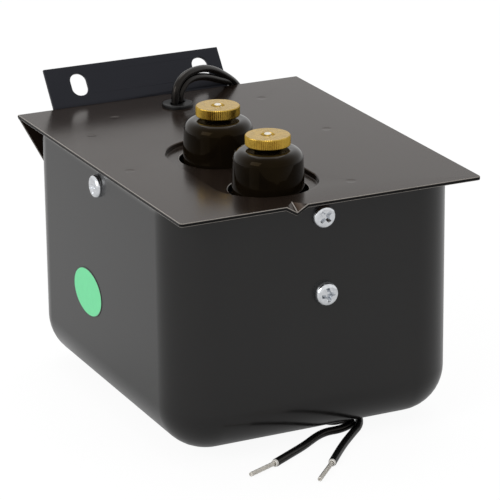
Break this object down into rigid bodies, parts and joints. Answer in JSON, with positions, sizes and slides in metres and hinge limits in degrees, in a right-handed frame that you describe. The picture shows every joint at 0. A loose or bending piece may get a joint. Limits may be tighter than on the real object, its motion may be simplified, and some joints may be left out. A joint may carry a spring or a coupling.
{
  "type": "ignition transformer",
  "caption": "Black steel can transformer with an overhanging cover plate, porcelain high-voltage terminals with brass thumb nuts, a slotted bracket and black supply leads.",
  "frame": {"origin": "centre of the cover plate's outer face, which seats against the burner housing", "axes": "+Z out of the cover's face along the terminals, +Y towards the slotted bracket, +X to the right as the front wall with its two screws is looked at"},
  "size_m": [0.127, 0.193, 0.1253],
  "materials": {
    "can_paint": "black enamel on drawn steel, satin to gloss",
    "cover_paint": "black enamel on sheet steel, satin",
    "bracket_paint": "black enamel on sheet steel, satin",
    "tab_steel": "black enamel on sheet steel",
    "zinc_screw": "bright zinc plate",
    "porcelain": "dark brown glaze on porcelain",
    "nickel_stud": "bright nickel plate",
    "turned_brass": "turned and knurled brass",
    "grommet_rubber": "moulded black rubber",
    "lead_pvc": "black flexible insulation, slightly glossy",
    "tinned_strands": "tinned copper strands",
    "core_laminations": "varnished silicon steel laminations",
    "winding_paper": "varnished insulating paper over the windings",
    "ht_insulation": "high-voltage lead insulation",
    "asphalt_compound": "poured asphalt compound with sand filler",
    "green_sticker": "plain green oval sticker"
  },
  "bodies": {
    "root": {"can": "can_paint", "cover_plate": "cover_paint", "mount_bracket": "bracket_paint", "cover_tab_front": "tab_steel", "cover_tab_left": "tab_steel", "cover_tab_right": "tab_steel", "cover_screws": "zinc_screw", "clamp_screws": "zinc_screw", "core_clamp_front": "tab_steel", "core_clamp_back": "tab_steel", "bushing_front": "porcelain", "bushing_back": "porcelain", "terminal_stud_front": "nickel_stud", "terminal_stud_back": "nickel_stud", "thumb_nut_front": "turned_brass", "thumb_nut_back": "turned_brass", "terminal_nuts": "turned_brass", "lead_grommet": "grommet_rubber", "lead_1": "lead_pvc", "lead_2": "lead_pvc", "lead_end_1": "tinned_strands", "lead_end_2": "tinned_strands", "lead_tails": "lead_pvc", "core_frame": "core_laminations", "core_limb": "core_laminations", "limb_tube": "winding_paper", "primary_coil": "winding_paper", "secondary_coil_front": "winding_paper", "secondary_coil_back": "winding_paper", "shunts": "core_laminations", "ht_leads": "ht_insulation", "potting_compound": "asphalt_compound", "oval_label": "green_sticker"}
  },
  "joints": []
}
